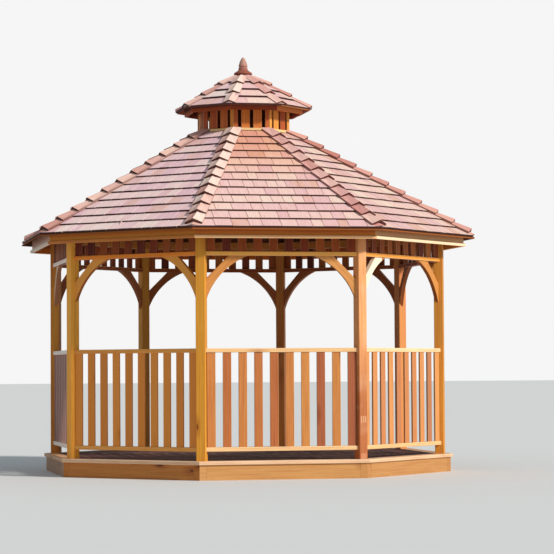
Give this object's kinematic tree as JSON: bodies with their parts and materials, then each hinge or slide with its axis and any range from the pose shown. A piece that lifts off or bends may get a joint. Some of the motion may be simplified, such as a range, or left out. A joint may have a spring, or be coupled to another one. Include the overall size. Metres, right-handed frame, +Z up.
{
  "type": "octagonal garden gazebo",
  "caption": "Eight-sided cedar garden gazebo with curved braces, railings on the front bays, a shingled hip roof and a slatted cupola with a finial.",
  "frame": {"origin": "centre of the base on the ground", "axes": "+Z up, -Y out of the railed front bay, +X to the right seen from the front"},
  "size_m": [4.2424, 4.2424, 4.1073],
  "materials": {
    "post_cedar": "oiled golden-brown cedar, satin",
    "trim_cedar": "oiled golden-brown cedar, satin",
    "railing_cedar": "oiled orange-brown cedar, satin",
    "shingle_cedar": "sawn red cedar shingles, matt",
    "finial_cedar": "oiled red cedar, matt",
    "deck_cedar": "weathered cedar boards, matt",
    "skirt_cedar": "oiled golden-brown cedar, satin",
    "framing_timber": "sawn cedar framing, matt",
    "fascia_cedar": "oiled golden-brown cedar, satin",
    "cupola_cedar": "oiled golden-brown cedar, satin"
  },
  "bodies": {
    "root": {"skirt": "skirt_cedar", "floor_frame": "framing_timber", "floor_hub": "framing_timber", "deck_floor": "deck_cedar", "rafters": "framing_timber", "fascia": "fascia_cedar", "hip_caps": "shingle_cedar", "cupola_walls": "cupola_cedar", "cupola_roof": "shingle_cedar", "finial": "finial_cedar", "post_1": "post_cedar", "post_2": "post_cedar", "post_3": "post_cedar", "post_4": "post_cedar", "post_5": "post_cedar", "post_6": "post_cedar", "post_7": "post_cedar", "post_8": "post_cedar", "frieze_front": "trim_cedar", "frieze_front_right": "trim_cedar", "frieze_right": "trim_cedar", "frieze_back_right": "trim_cedar", "frieze_back": "trim_cedar", "frieze_back_left": "trim_cedar", "frieze_left": "trim_cedar", "frieze_front_left": "trim_cedar", "braces_front": "trim_cedar", "braces_front_right": "trim_cedar", "braces_right": "trim_cedar", "braces_back_right": "trim_cedar", "braces_back": "trim_cedar", "braces_back_left": "trim_cedar", "braces_left": "trim_cedar", "braces_front_left": "trim_cedar", "roof_front": "shingle_cedar", "roof_front_right": "shingle_cedar", "roof_right": "shingle_cedar", "roof_back_right": "shingle_cedar", "roof_back": "shingle_cedar", "roof_back_left": "shingle_cedar", "roof_left": "shingle_cedar", "roof_front_left": "shingle_cedar", "railing_front_left": "railing_cedar", "railing_front": "railing_cedar", "railing_front_right": "railing_cedar", "railing_left": "railing_cedar"}
  },
  "joints": []
}
